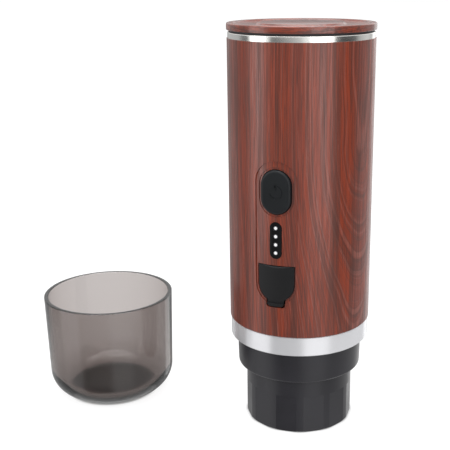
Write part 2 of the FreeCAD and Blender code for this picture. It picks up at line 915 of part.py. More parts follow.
def motor_mount():
    bottom, inner = chassis_split - mount_below, motor_radius
    outer = inner + mount_wall
    flange = outer + mount_flange_width
    top = top_plate_top + mount_flange_thickness
    return turned([(inner, bottom), (outer, bottom), (outer, top_plate_top), (flange, top_plate_top),
                   (flange, top), (inner, top)])


# Water lines

def bent_tube(angle, far_z):
    """Hose from a pump port out along the angle, round a bend and on to far_z."""
    toward = 1 if far_z > port_z else -1
    start_r = pump_radius + tube_gap
    turn_r = tube_circle - tube_bend
    half = tube_bend * math.sqrt(0.5)
    start = V(start_r, 0, port_z)
    bend_in = V(turn_r, 0, port_z)
    bend_middle = V(turn_r + half, 0, port_z + toward * (tube_bend - half))
    bend_out = V(tube_circle, 0, port_z + toward * tube_bend)
    path = Part.Wire([
        Part.makeLine(start, bend_in), Part.Arc(bend_in, bend_middle, bend_out).toShape(),
        Part.makeLine(bend_out, V(tube_circle, 0, far_z))])
    sides = []
    for radius in (tube_radius, tube_bore + tube_gap):
        circle = Part.Wire([Part.makeCircle(radius, start, V(1, 0, 0))])
        sides.append(path.makePipeShell([circle], True, True))
    hose = sides[0].cut(sides[1])
    hose.rotate(V(0, 0, 0), V(0, 0, 1), angle)
    return hose


def inlet_tube():
    return bent_tube(inlet_angle, heater_bottom - tube_hole_gap)


def outlet_tube():
    return bent_tube(outlet_angle, brew_top + check_valve_height)


def brew_check_valve():
    x, y = polar(tube_circle, outlet_angle)
    body = drum(check_valve_radius, brew_top, brew_top + check_valve_height, x, y)
    top = brew_top + check_valve_height + check_valve_nipple
    body = body.fuse(drum(tube_bore, brew_top + check_valve_height, top, x, y))
    return body.cut(drum(nipple_bore, brew_top, top, x, y))


# Brew head

def bottom_ring():
    lip = collar_top_radius + ring_lip_gap
    return turned([
        (lip, ring_bottom), (ring_radius - ring_chamfer, ring_bottom),
        (ring_radius, ring_bottom + ring_chamfer),
        (ring_radius, shell_bottom - ring_chamfer), (ring_radius - ring_chamfer, shell_bottom),
        (shell_bore, shell_bottom), (shell_bore, brew_ceiling), (lip, brew_ceiling)])


def brew_head():
    head = turned([
        (collar_bore_radius, collar_bottom), (collar_bottom_radius, collar_bottom, collar_edge_round),
        (collar_top_radius, ring_bottom), (collar_top_radius, brew_ceiling), (chassis_radius, brew_ceiling),
        (chassis_radius, brew_top), (0, brew_top), (0, brew_ceiling), (collar_bore_radius, brew_ceiling)])
    x, y = polar(tube_circle - check_valve_radius / 2, outlet_angle)
    head = head.cut(drum(nipple_bore, brew_ceiling, brew_top, x, y))
    for angle in head_screw_angles:
        x, y = polar(head_screw_circle, angle)
        head = head.cut(drum(screw_radius + screw_gap, base_top - head_screw_length, brew_top, x, y))
    return head


def head_screws():
    screws = []
    for angle in head_screw_angles:
        x, y = polar(head_screw_circle, angle)
        screws.append(screw(x, y, base_top, head_screw_length))
    return Part.makeCompound(screws)


def shower_plate():
    bottom = brew_ceiling - shower_thickness
    pocket, floor = shower_radius - shower_rim, brew_ceiling - shower_pocket_depth
    plate = turned([
        (0, bottom), (shower_radius, bottom), (shower_radius, brew_ceiling), (pocket, brew_ceiling),
        (pocket, floor), (0, floor)])
    outer = shower_radius - shower_hole_margin
    holes = [drum(shower_hole_radius, bottom, brew_ceiling, x, y)
             for x, y in hole_places(shower_hole_rows, outer)]
    plate = plate.cut(Part.makeCompound(holes))
    for i in range(needle_count):
        x, y = polar(needle_circle, 360 * (i + 0.5) / needle_count)
        tip = V(x, y, bottom - needle_length)
        needle = Part.makeCone(needle_tip_radius, needle_radius, needle_length, tip)
        plate = plate.fuse(needle)
    return plate


def brew_gasket():
    return ring(shower_radius, gasket_outer, brew_ceiling - gasket_height, brew_ceiling)


# Capsule holder

def filter_basket():
    top = holder_top + basket_rim_thickness
    floor = basket_bottom + basket_wall
    basket = turned([
        (0, basket_bottom), (basket_foot_radius, basket_bottom, basket_foot_round),
        (basket_radius, holder_top), (basket_rim_radius, holder_top), (basket_rim_radius, top),
        (basket_radius - basket_wall, top),
        (basket_foot_radius - basket_wall, floor, basket_foot_round - basket_wall), (0, floor)])
    outer = basket_foot_radius - basket_hole_margin
    holes = [drum(basket_hole_radius, basket_bottom, basket_bottom + basket_wall, x, y)
             for x, y in hole_places(basket_hole_rows, outer)]
    return basket.cut(Part.makeCompound(holes))


def capsule_holder():
    floor_top = holder_floor_z + holder_floor_thickness
    lip = holder_radius - holder_skirt_wall
    holder = turned([
        (outlet_hole_radius, holder_floor_z), (lip, holder_floor_z, holder_recess_round), (lip, 0),
        (holder_radius, 0, holder_foot_round), (holder_radius, holder_top, holder_edge_round),
        (holder_bore_radius, holder_top),
        (holder_bore_radius, floor_top), (outlet_hole_radius, floor_top - holder_floor_slope)])
    flat = holder_radius - grip_flat_depth
    for i in range(grip_count):
        side = block((flat, holder_radius + cut_margin), (-holder_radius / 2, holder_radius / 2),
                     (-cut_margin, grip_height))
        side.rotate(V(0, 0, 0), V(0, 0, 1), -90 + grip_turn + 360 * i / grip_count)
        holder = holder.cut(side)
    return holder


def outlet_nozzle():
    spigot = outlet_hole_radius - nozzle_gap
    top = holder_floor_z + holder_floor_thickness - holder_floor_slope
    return turned([
        (nozzle_bore, nozzle_bottom, nozzle_edge_round),
        (nozzle_radius - nozzle_taper, nozzle_bottom, nozzle_edge_round), (nozzle_radius, holder_floor_z),
        (spigot, holder_floor_z), (spigot, top), (nozzle_bore, top)])


# Cup

def cup():
    foot = cup_rim_radius - cup_taper
    inner_round = cup_foot_round - cup_wall
    body = turned([
        (0, 0), (foot, 0, cup_foot_round), (cup_rim_radius, cup_height, cup_rim_round),
        (cup_rim_radius - cup_wall, cup_height, cup_rim_round), (foot - cup_wall, cup_floor, inner_round),
        (0, cup_floor)])
    body.translate(V(cup_x, cup_y, 0))
    return body


# Output

pieces = {
    "lid_cap": lid_cap, "lid_plug": lid_plug, "lid_vent_valve": lid_vent_valve, "lid_seal": lid_seal,
    "top_band": top_band, "tank_seal": tank_seal, "water_tank": water_tank,
    "tank_outlet_fitting": tank_outlet_fitting, "tank_heater": tank_heater,
    "temperature_sensor": temperature_sensor, "thermal_fuse": thermal_fuse,
    "outer_shell": outer_shell, "power_button": power_button, "switch_plunger": switch_plunger,
    "tactile_switch": tactile_switch, "indicator_window": indicator_window, "light_guide": light_guide,
    "indicator_leds": indicator_leds, "control_board": control_board, "board_screws": board_screws,
    "usb_socket": usb_socket, "usb_flap": usb_flap, "chassis_base": chassis_base,
    "chassis_top": chassis_top, "chassis_screws": chassis_screws, "cell_links": cell_links,
    "pump_foot": pump_foot, "pump_valve_body": pump_valve_body, "pump_diaphragm": pump_diaphragm,
    "wobble_plate": wobble_plate, "pump_frame": pump_frame, "pump_motor": pump_motor,
    "motor_shaft": motor_shaft, "pump_eccentric": pump_eccentric, "motor_mount": motor_mount,
    "inlet_tube": inlet_tube, "outlet_tube": outlet_tube, "brew_check_valve": brew_check_valve,
    "bottom_ring": bottom_ring, "brew_head": brew_head, "head_screws": head_screws,
    "shower_plate": shower_plate, "brew_gasket": brew_gasket, "filter_basket": filter_basket,
    "capsule_holder": capsule_holder, "outlet_nozzle": outlet_nozzle, "cup": cup}

os.makedirs("parts", exist_ok=True)
for name, make in pieces.items():
    shape = make()
    shape.exportStep("parts/" + name + ".step")
    print(name, len(shape.Solids), "solid", round(shape.Volume / 1000, 3), "cm3", shape.isValid())
for number, (x, y) in enumerate(cell_places(), start=1):
    battery_cell(x, y).exportStep("parts/battery_cell_" + str(number) + ".step")
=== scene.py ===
# %% [markdown]
# A portable espresso maker and its smoke-grey cup.
#
# The machine is a wood-look barrel with a steel band and a screw lid on top, a bright ring and a black
# brew head below, and a shallow sunk panel on its front with a button, four lights and a rubber flap.
# Its solids come packed from the CAD model. This script gives them their finishes, adds the fine pieces
# that only show up close, and sets up the light and the camera.

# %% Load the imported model
import math

import bmesh
import bpy
from mathutils import Matrix, Vector


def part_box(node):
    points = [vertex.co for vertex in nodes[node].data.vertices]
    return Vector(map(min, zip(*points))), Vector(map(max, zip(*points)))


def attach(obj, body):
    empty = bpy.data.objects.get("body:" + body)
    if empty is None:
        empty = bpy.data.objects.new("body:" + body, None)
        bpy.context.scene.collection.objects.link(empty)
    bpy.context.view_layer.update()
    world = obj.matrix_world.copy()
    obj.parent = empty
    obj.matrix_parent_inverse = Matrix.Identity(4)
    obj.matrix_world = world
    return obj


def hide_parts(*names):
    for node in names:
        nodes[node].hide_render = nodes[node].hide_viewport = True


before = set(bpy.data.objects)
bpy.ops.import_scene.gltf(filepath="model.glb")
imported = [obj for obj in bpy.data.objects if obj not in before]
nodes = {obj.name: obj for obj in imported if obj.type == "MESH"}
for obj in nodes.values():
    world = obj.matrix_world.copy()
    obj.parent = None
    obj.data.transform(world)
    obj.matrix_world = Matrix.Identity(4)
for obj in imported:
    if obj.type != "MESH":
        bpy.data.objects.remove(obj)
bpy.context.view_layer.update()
MM = 0.001

# %% [markdown]
# ## Camera
#
# The camera could be placed by eye until the picture looks right. Here it was worked out instead: the
# ellipses of the lid, the ring and the foot fix how high the camera stands and how far away it is. The
# small shift puts the object where it is in the frame without turning the camera, so upright edges keep
# their slight lean.

# %% Camera
camera_data = bpy.data.cameras.new("camera")
camera_data.sensor_width = 36.0
camera_data.lens = 70.632
camera_data.shift_x = -0.0833
camera = bpy.data.objects.new("camera", camera_data)
camera.location = (0.13911, -0.41099, 0.2284)
heading, pitch, roll = 21.223, 73.86, -0.273
camera.rotation_euler = (
    Matrix.Rotation(math.radians(heading), 3, "Z")
    @ Matrix.Rotation(math.radians(pitch), 3, "X")
    @ Matrix.Rotation(math.radians(roll), 3, "Z")).to_euler()
bpy.context.scene.collection.objects.link(camera)
bpy.context.scene.camera = camera
print("camera stands", round(math.hypot(*camera.location[:2]), 3), "m from the barrel's axis")

# %% [markdown]
# ## Nodes in one line each
#
# A material is a small network: nodes joined by links. Typing out every node takes many lines, so one
# helper makes a node, sets its options and fills its sockets. A socket is given either a value or
# another node's output, which then is linked. The other helpers name what a group of nodes does.

# %% Node helpers
white, black = (1.0, 1.0, 1.0, 1.0), (0.0, 0.0, 0.0, 1.0)


def node(tree, kind, sockets=None, **options):
    """Adds a node. sockets maps an input's name or number to a value or to another node's output."""
    made = tree.nodes.new("ShaderNode" + kind)
    for option, value in options.items():
        setattr(made, option, value)
    for key, value in (sockets or {}).items():
        if isinstance(value, bpy.types.NodeSocket):
            tree.links.new(value, made.inputs[key])
        else:
            made.inputs[key].default_value = value
    return made


def maths(tree, operation, *values):
    """The result of a Math node."""
    return node(tree, "Math", dict(enumerate(values)), operation=operation).outputs[0]


def scaled(tree, vector, x, y, z):
    """The vector stretched by x, y and z."""
    return node(tree, "Mapping", {"Vector": vector, "Scale": (x, y, z)}).outputs[0]


def blended(tree, factor, first, second):
    """Two colours mixed: the first where the factor is 0, the second where it is 1."""
    return node(tree, "Mix", {0: factor, 6: first, 7: second}, data_type="RGBA").outputs[2]


def noise(tree, vector, scale, detail=2.0, rough=0.5, twist=0.0):
    """The value of a Noise texture."""
    sockets = {"Vector": vector, "Scale": scale, "Detail": detail, "Roughness": rough, "Distortion": twist}
    return node(tree, "TexNoise", sockets).outputs[0]


def spread(tree, value, low, high, to_low=0.0, to_high=1.0):
    """A value from low to high, moved to the range to_low to to_high and kept inside it."""
    sockets = {0: value, 1: low, 2: high, 3: to_low, 4: to_high}
    return node(tree, "MapRange", sockets).outputs[0]


def varied(tree, pattern, to_low=0.0, to_high=1.0):
    """Noise moved to the range to_low to to_high. Nearly all of it lies between 0.3 and 0.7 before."""
    return spread(tree, pattern, 0.3, 0.7, to_low, to_high)


def from_upright(tree, x, y):
    """How far a point lies from an upright line, from its x and y seen from there."""
    flat = node(tree, "CombineXYZ", {0: x, 1: y}).outputs[0]
    return node(tree, "VectorMath", {0: flat}, operation="LENGTH").outputs["Value"]


def bumped(tree, shader, height, strength, depth):
    """Raises the surface by the height, which runs from 0 to 1 over depth millimetres."""
    bump = node(tree, "Bump", {"Height": height, "Strength": strength, "Distance": depth * MM})
    tree.links.new(bump.outputs[0], shader.inputs["Normal"])


def start_material(name, **sockets):
    """A new material with its Principled shader and the place of each point on the object."""
    material = bpy.data.materials.new(name)
    material.use_nodes = True
    tree = material.node_tree
    shader = tree.nodes["Principled BSDF"]
    for key, value in sockets.items():
        shader.inputs[key.replace("_", " ")].default_value = value
    place = node(tree, "TexCoord").outputs["Object"]
    return material, tree, shader, place


# %% [markdown]
# ## Studio
#
# The photograph has a white studio: a tall soft box on the left, a wider one on the right, a lamp behind
# and light from above. Polished steel shows all of that, so the lamps are placed where the steel band's
# bright stripes say they are. The world could carry everything, but a lamp that stands somewhere gives
# softer shadows, so the world is only the white that the camera sees and an even fill.

# %% World
fill_light = 0.70
world = bpy.data.worlds.new("studio")
world.use_nodes = True
bpy.context.scene.world = world
sky = world.node_tree
sky.nodes.clear()


def seen_directly(tree):
    """1 for rays from the camera, from a reflection or through clear plastic, else 0."""
    path = node(tree, "LightPath").outputs
    mirrored = maths(tree, "MAXIMUM", path["Is Camera Ray"], path["Is Glossy Ray"])
    return maths(tree, "MAXIMUM", mirrored, path["Is Transmission Ray"])


fill = spread(sky, seen_directly(sky), 0.0, 1.0, fill_light, 1.0)
shine = node(sky, "Background", {"Strength": fill, "Color": white})
sky.links.new(shine.outputs[0], node(sky, "OutputWorld").inputs[0])
print("the world fills with a strength of", fill_light)

# %% [markdown]
# ## Floor
#
# A white floor could be lit until it clips, but then its shadow is lost and pale parts burn out. So the
# floor is a pale matt sheet that also glows a little for the camera and for reflections, and the light
# on the object stays plain. Where something stands on the sheet no light gets under it, so the glow
# stops there: an Ambient Occlusion node with a short reach finds those places. A second one looks down
# instead of up. For the camera it clears the sheet where the unscrewed capsule holder has sunk below it.


# %% Floor
def add_stage(name, mesh, material):
    """A piece of the studio, which isn't part of the object."""
    data = bpy.data.meshes.new(name)
    mesh.to_mesh(data)
    mesh.free()
    data.materials.append(material)
    made = bpy.data.objects.new(name, data)
    bpy.context.scene.collection.objects.link(made)
    return made


floor_size, floor_drop, floor_glow = 6.0, 0.05 * MM, 0.86
contact_reach, holder_reach, nothing_below = 1.4 * MM, 90 * MM, 0.9999
sheet = bmesh.new()
bmesh.ops.create_grid(
    sheet, x_segments=1, y_segments=1, size=floor_size, matrix=Matrix.Translation((0, 0, -floor_drop)))
floor_material, tree, shader, place = start_material(
    "floor", Base_Color=(0.30, 0.30, 0.30, 1.0), Roughness=0.9, Specular_IOR_Level=0.0, Emission_Color=white)
uncovered = node(tree, "AmbientOcclusion", {"Distance": contact_reach}, samples=12).outputs["AO"]
glow = maths(tree, "MULTIPLY", maths(tree, "MULTIPLY", seen_directly(tree), floor_glow), uncovered)
tree.links.new(glow, shader.inputs["Emission Strength"])

beneath = node(tree, "AmbientOcclusion", {"Distance": holder_reach}, samples=40, inside=True).outputs["AO"]
sunk = maths(tree, "LESS_THAN", beneath, nothing_below)
see_through = node(tree, "BsdfTransparent").outputs[0]
cleared = node(tree, "MixShader", {0: sunk, 1: shader.outputs[0], 2: see_through}).outputs[0]
by_eye = node(tree, "LightPath").outputs["Is Camera Ray"]
surface = node(tree, "MixShader", {0: by_eye, 1: shader.outputs[0], 2: cleared}).outputs[0]
tree.links.new(surface, tree.nodes["Material Output"].inputs["Surface"])
floor = add_stage("floor", sheet, floor_material)
floor.visible_glossy = False
print("the floor lies", floor_drop / MM, "mm below the foot")

# %% [markdown]
# ## Soft boxes
#
# A soft box is a glowing rectangle, in Blender an area lamp, and its size sets how soft its shadows are.
# Each could be placed by its coordinates. A bearing from the camera says it in a photographer's words:
# 0 degrees is the camera's own side of the barrel, 90 is to the right. The energy grows with the area, so
# a wider box looks no brighter.

# %% Soft boxes
camera_bearing = math.radians(18.7)
ahead = (math.sin(camera_bearing), -math.cos(camera_bearing))
aside = (math.cos(camera_bearing), math.sin(camera_bearing))


def soft_box(name, degrees, distance, height, width, tall, brightness):
    """A soft box at a bearing from the camera, to the right if positive, that faces the barrel."""
    lamp = bpy.data.lights.new(name, "AREA")
    lamp.shape = "RECTANGLE"
    lamp.size, lamp.size_y, lamp.energy = width, tall, brightness * math.pi * width * tall
    turn = math.radians(degrees)
    direction = Vector((
        math.cos(turn) * ahead[0] + math.sin(turn) * aside[0],
        math.cos(turn) * ahead[1] + math.sin(turn) * aside[1], 0.0))
    box = bpy.data.objects.new(name, lamp)
    box.location = direction * distance + Vector((0, 0, height))
    box.rotation_euler = (-direction).to_track_quat("-Z", "Y").to_euler()
    bpy.context.scene.collection.objects.link(box)
    return box


soft_box("left_soft_box", degrees=-69, distance=0.9, height=0.37, width=0.42, tall=1.1, brightness=1.55)
soft_box("right_soft_box", degrees=32, distance=0.9, height=0.37, width=0.56, tall=1.1, brightness=1.45)
soft_box("back_lamp", degrees=150, distance=0.9, height=0.14, width=0.36, tall=1.5, brightness=0.7)
top_box = soft_box("top_soft_box", degrees=0, distance=0.15, height=1.4, width=1.2, tall=1.2, brightness=1.5)
top_box.rotation_euler = (0, 0, 0)
print("the camera's bearing from the barrel's front is", round(math.degrees(camera_bearing), 1), "degrees")

# %% [markdown]
# ## Studio wall
#
# The stripes between the lamps are dark on the steel, because a real studio has dark flags and an unlit
# side. A round wall stands in for them. Its foot has softer stripes, because the parts near the floor
# mirror the pale sheet, and its upper part is white. A bright disc overhead draws a thin line of light
# along each upper edge. Only reflections see the wall and the disc, so they change no other light.

# %% Wall
wall_radius, wall_height = 1.3, 3.0
wall_ring = bmesh.new()
bmesh.ops.create_cone(
    wall_ring, cap_ends=False, segments=96, radius1=wall_radius, radius2=wall_radius, depth=wall_height)
wall_material, tree, shader, place = start_material(
    "studio_wall", Base_Color=black, Specular_IOR_Level=0.0, Emission_Strength=1.0)
reach = node(tree, "SeparateXYZ", {0: place}).outputs


def along(direction):
    """How far the wall's point lies along a level direction."""
    return maths(tree, "ADD", *(maths(tree, "MULTIPLY", reach[i], direction[i]) for i in (0, 1)))


bearing = spread(tree, maths(tree, "ARCTAN2", along(aside), along(ahead)), -math.pi, math.pi)


def stripes(light):
    """Stripes of light round the wall: the brightness at each bearing in degrees, blended between."""
    ramp = node(tree, "ValToRGB", {0: bearing})
    stops = ramp.color_ramp.elements
    while len(stops) < len(light):
        stops.new(1.0)
    for stop, (degrees, level) in zip(list(stops), light.items()):
        stop.position = (degrees + 180) / 360
        stop.color = (level, level, level, 1.0)
    return ramp.outputs[0]


level_light = stripes({
    -180: 0.20, -150: 0.55, -110: 0.50, -103: 0.26, -96: 0.14, -88: 0.12, -82: 0.95, -51: 0.95, -46: 0.14,
    -36: 0.20, -24: 0.33, -12: 0.46, 0: 0.62, 5: 0.95, 48: 0.95, 53: 0.14, 65: 0.06, 83: 0.10, 90: 0.18,
    99: 0.50, 119: 0.70, 140: 0.50, 155: 0.80, 180: 0.20})
low_light = stripes({
    -180: 0.30, -150: 0.60, -88: 0.65, -82: 0.95, -51: 0.95, -46: 0.30, -12: 0.32, 0: 0.36, 6: 0.55, 12: 1.0,
    48: 1.0, 53: 0.70, 140: 0.70, 180: 0.30})
above_foot = spread(tree, reach[2], -0.46, -0.36)
near_top = spread(tree, reach[2], 0.30, 0.40)
light = blended(tree, near_top, blended(tree, above_foot, low_light, level_light), white)
tree.links.new(light, shader.inputs["Emission Color"])
wall = add_stage("studio_wall", wall_ring, wall_material)
print("the wall's faces:", len(wall.data.polygons))

# %% Ceiling disc
ceiling_radius, ceiling_height, ceiling_glow = 0.9, 1.5, 3.5
ceiling_disc = bmesh.new()
bmesh.ops.create_circle(
    ceiling_disc, cap_ends=True, segments=64, radius=ceiling_radius,
    matrix=Matrix.Translation((0, 0, ceiling_height)))
ceiling_material, tree, shader, place = start_material(
    "studio_ceiling", Base_Color=black, Specular_IOR_Level=0.0, Emission_Color=white,
    Emission_Strength=ceiling_glow)
ceiling = add_stage("studio_ceiling", ceiling_disc, ceiling_material)
for mirrored_only in (wall, ceiling):
    mirrored_only.visible_camera = mirrored_only.visible_diffuse = mirrored_only.visible_transmission = False
    mirrored_only.visible_shadow = mirrored_only.visible_volume_scatter = False
print("the disc hangs", ceiling_height, "m up")

# %% [markdown]
# ## Wood look
#
# The barrel and the lid are plastic with a rosewood print under a satin lacquer. A photograph of wood
# could be wrapped round them, but then the seam and the scale show. A print made of textures in the
# object's own space has neither. It is built the way a tree is: growth rings round a trunk, cut through
# by the barrel. The trunk's axis runs up the barrel's left side and leans a little further that way
# between the two heights given, so the rings come out as straight grain over most of the barrel, and as
# nested arches on the right, where the surface faces away from the trunk.

# %% Growth rings
wood, tree, shader, place = start_material(
    "rosewood_print", Coat_Weight=0.24, Coat_Roughness=0.18, Specular_IOR_Level=0.5)
arch_bearing = math.radians(72.0)
trunk_distance = 36.0 * MM
lean_low, lean_high, trunk_lean = 40.0 * MM, 150.0 * MM, 7.0 * MM
sway_scale, sway_squeeze, most_sway = 30.0, 0.4, 0.5 * MM
outward = (math.sin(arch_bearing), -math.cos(arch_bearing))
axes = node(tree, "SeparateXYZ", {0: place}).outputs
lean = node(tree, "MapRange", {0: axes[2], 1: lean_low, 2: lean_high, 3: 0.0, 4: trunk_lean},
            interpolation_type="SMOOTHSTEP").outputs[0]
wander = noise(tree, scaled(tree, place, 1.0, 1.0, sway_squeeze), sway_scale, 2.0)
sway = spread(tree, wander, 0.25, 0.75, -most_sway, most_sway)
from_trunk = []
for i in (0, 1):
    pushed = maths(tree, "ADD", axes[i], trunk_distance * outward[i])
    from_trunk.append(maths(tree, "ADD", pushed, maths(tree, "MULTIPLY", lean, outward[i])))
ring_radius = maths(tree, "ADD", from_upright(tree, *from_trunk), sway)


def rings(width, detail, rough=0.5):
    """Growth rings about so many millimetres wide, no two alike."""
    sockets = {"W": ring_radius, "Scale": 1.0 / (width * MM), "Detail": detail, "Roughness": rough}
    return node(tree, "TexNoise", sockets, noise_dimensions="1D").outputs[0]


print("the trunk leans", trunk_lean / MM, "mm over", (lean_high - lean_low) / MM, "mm of height")

# %% [markdown]
# ## Strands, fibres and colours
#
# Fibres run up the trunk. Their noise could be a plain one, but wood has no dots. So its coordinates are
# squeezed along Z, which draws each dot out into an upright streak. The print's colours then go on one
# after another, as inks do: each where its own pattern is strong, and the finest last.


# %% Strands and fibres
def streaks(squeeze, scale, detail, rough=0.5):
    """Noise drawn out along Z. The smaller the squeeze, the longer the streaks."""
    return noise(tree, scaled(tree, place, 1.0, 1.0, squeeze), scale, detail, rough)


boards = streaks(0.012, 95.0, 2.0, 0.6)
strands = streaks(0.014, 300.0, 3.0, 0.6)
fibres = streaks(0.032, 1000.0, 3.0, 0.65)
pores = streaks(0.030, 2100.0, 0.0)

# %% Print colours
brown, orange = (0.230, 0.034, 0.014, 1.0), (0.325, 0.041, 0.009, 1.0)
umber, rose = (0.088, 0.023, 0.014, 1.0), (0.345, 0.096, 0.066, 1.0)
pore_brown = (0.05, 0.016, 0.012, 1.0)
colour = blended(tree, spread(tree, boards, 0.42, 0.58), brown, orange)
for pattern, low, high, most, ink in (
        (rings(1.4, 2.0), 0.45, 0.72, 0.50, umber),
        (rings(0.40, 3.0, 0.6), 0.48, 0.66, 0.60, umber),
        (rings(0.45, 3.0, 0.6), 0.46, 0.34, 0.75, rose),
        (strands, 0.49, 0.61, 0.60, umber),
        (fibres, 0.48, 0.62, 0.55, umber),
        (fibres, 0.46, 0.34, 0.45, rose),
        (pores, 0.64, 0.72, 0.40, pore_brown)):
    colour = blended(tree, spread(tree, pattern, low, high, 0.0, most), colour, ink)
tree.links.new(colour, shader.inputs["Base Color"])
tree.links.new(spread(tree, fibres, 0.35, 0.65, 0.26, 0.50), shader.inputs["Roughness"])
weave = maths(tree, "ADD", maths(tree, "MULTIPLY", strands, 0.4), maths(tree, "MULTIPLY", fibres, 0.6))
bumped(tree, shader, weave, 0.6, 0.15)
print("the wood look has", len(tree.nodes), "nodes")

# %% [markdown]
# ## Metals
#
# Metal is mostly its reflections, so its colour is pale and its roughness decides the look: low for the
# polished band, a little higher for the bright ring. Turning leaves fine lines that run round the part.
# They could be drawn one by one. Here they are noise read along the radius and the height only, so that
# nothing changes round the axis.


# %% Turned metal
def turned_metal(name, colour, roughness, lines, depth, metallic=1.0):
    """Metal with fine lines from a lathe. lines is how many fit in a millimetre, depth how deep they are."""
    material, tree, shader, place = start_material(name, Base_Color=colour, Metallic=metallic)
    axes = node(tree, "SeparateXYZ", {0: place}).outputs
    radius = from_upright(tree, axes[0], axes[1])
    round_axis = node(tree, "CombineXYZ", {0: radius, 2: axes[2]}).outputs[0]
    turning = noise(tree, round_axis, lines / MM, 2.0, 0.7)
    smudges = noise(tree, place, 45.0, 3.0)
    worn = maths(tree, "ADD", varied(tree, turning, -0.04, 0.04), varied(tree, smudges, -0.02, 0.03))
    tree.links.new(maths(tree, "ADD", worn, roughness), shader.inputs["Roughness"])
    bumped(tree, shader, turning, 0.3, depth)
    return material


finishes = {
    "wood_grain": wood,
    "steel_band": turned_metal("polished_steel", (0.80, 0.80, 0.77, 1.0), 0.17, 3.0, 0.002),
    "ring_aluminium": turned_metal("satin_aluminium", (0.92, 0.92, 0.95, 1.0), 0.20, 6.0, 0.003, 0.50),
    "tank_steel": turned_metal("drawn_steel", (0.78, 0.78, 0.76, 1.0), 0.26, 2.0, 0.002, 0.7),
    "heater_aluminium": turned_metal("plain_aluminium", (0.66, 0.66, 0.67, 1.0), 0.38, 1.5, 0.006),
    "motor_steel": turned_metal("plated_steel", (0.66, 0.66, 0.65, 1.0), 0.28, 1.2, 0.004)}
print("finishes:", ", ".join(finishes))

# %% [markdown]
# ## Plastics, rubber and small metal parts
#
# Moulded plastic is never quite plain. A single colour would look like paint. The mould is etched, so
# the surface has a fine grain that breaks up highlights, and it shines a little more where hands rub it.
# Both come from noise: one fine enough to read as a texture, one broad and faint. Screws and strips are
# stamped or drawn, not turned, so their scratches run all ways.


# %% Moulded finishes
def moulded(name, colour, roughness, grain=2.5, depth=0.02, **sockets):
    """Etched plastic or rubber. grain is how many grains fit in a millimetre."""
    material, tree, shader, place = start_material(name, **sockets)
    speckle = noise(tree, place, grain / MM, 2.0, 0.6)
    cloud = noise(tree, place, 55.0, 3.0)
    darker = tuple(0.8 * part for part in colour[:3]) + (1.0,)
    tree.links.new(blended(tree, varied(tree, cloud), darker, colour), shader.inputs["Base Color"])
    rubbed = varied(tree, cloud, roughness - 0.04, roughness + 0.05)
    tree.links.new(rubbed, shader.inputs["Roughness"])
    bumped(tree, shader, speckle, 0.35, depth)
    return material


flap_black, button_black = (0.006, 0.006, 0.007, 1.0), (0.006, 0.008, 0.010, 1.0)
finishes.update({
    "black_plastic": moulded("etched_black_plastic", (0.021, 0.020, 0.026, 1.0), 0.34),
    "inner_black_plastic": moulded("inner_black_plastic", (0.030, 0.030, 0.033, 1.0), 0.50),
    "chassis_plastic": moulded("pale_plastic", (0.56, 0.56, 0.53, 1.0), 0.50),
    "switch_black": moulded("switch_plastic", (0.020, 0.020, 0.020, 1.0), 0.45),
    "seal_silicone": moulded("black_silicone", (0.020, 0.020, 0.022, 1.0), 0.62, 1.5),
    "flap_rubber": moulded("flap_rubber", flap_black, 0.55, 4.0, 0.015, Specular_IOR_Level=0.3),
    "button_rubber": moulded("button_rubber", button_black, 0.46, 4.0, 0.012, Specular_IOR_Level=0.3),
    "clear_silicone": moulded("clear_silicone", (0.72, 0.72, 0.68, 1.0), 0.42, 1.5, 0.01,
                              Subsurface_Weight=0.4, Subsurface_Scale=0.002),
    "sensor_epoxy": moulded("sensor_epoxy", (0.66, 0.62, 0.48, 1.0), 0.42, 1.2),
    "led_white": moulded("lamp_phosphor", (0.85, 0.80, 0.52, 1.0), 0.45, 3.0),
    "window_gloss": moulded("smoked_window", (0.003, 0.003, 0.004, 1.0), 0.12, 0.3, 0.002)})
print(len(finishes), "finishes so far")


# %% Small metal parts
def plain_metal(name, colour, roughness):
    """Stamped or drawn metal with faint scratches in all directions."""
    material, tree, shader, place = start_material(name, Base_Color=colour, Metallic=1.0)
    scratches = noise(tree, place, 900.0, 4.0, 0.7, 1.5)
    scuffed = varied(tree, scratches, roughness - 0.06, roughness + 0.08)
    tree.links.new(scuffed, shader.inputs["Roughness"])
    bumped(tree, shader, scratches, 0.2, 0.01)
    return material


finishes.update({
    "screw_steel": plain_metal("zinc_screws", (0.58, 0.58, 0.56, 1.0), 0.32),
    "socket_steel": plain_metal("socket_shell", (0.68, 0.68, 0.67, 1.0), 0.28),
    "nickel": plain_metal("nickel_strip", (0.74, 0.71, 0.64, 1.0), 0.25)})
print(len(finishes), "finishes with the small metal parts")

# %% [markdown]
# ## Circuit board and cells
#
# These sit inside, but they show when the machine is taken apart, so each has its own look: a green board
# with paler copper tracks under the lacquer, and cells in a blue shrink sleeve with bare ends. The tracks
# could be modelled, but they are thinner than a hair, so a Brick texture draws them. Where the sleeve
# ends is read from the height of the point.

# %% Circuit board
mask_green, deep_green = (0.010, 0.085, 0.030, 1.0), (0.008, 0.065, 0.024, 1.0)
track_green = (0.035, 0.200, 0.070, 1.0)
board, tree, shader, place = start_material("green_board", Roughness=0.35)
upright = node(tree, "Mapping", {"Vector": place, "Rotation": (math.radians(90), 0, 0)}).outputs[0]
tracks = node(tree, "TexBrick", {
    "Vector": upright, "Color1": mask_green, "Color2": deep_green, "Mortar": track_green,
    "Scale": 1.0 / MM, "Mortar Size": 0.12, "Brick Width": 4.5, "Row Height": 1.3}, offset=0.37)
tree.links.new(tracks.outputs[0], shader.inputs["Base Color"])
bumped(tree, shader, tracks.outputs[1], 0.3, 0.03)
finishes["board_green"] = board
print("the board's look has", len(tree.nodes), "nodes")

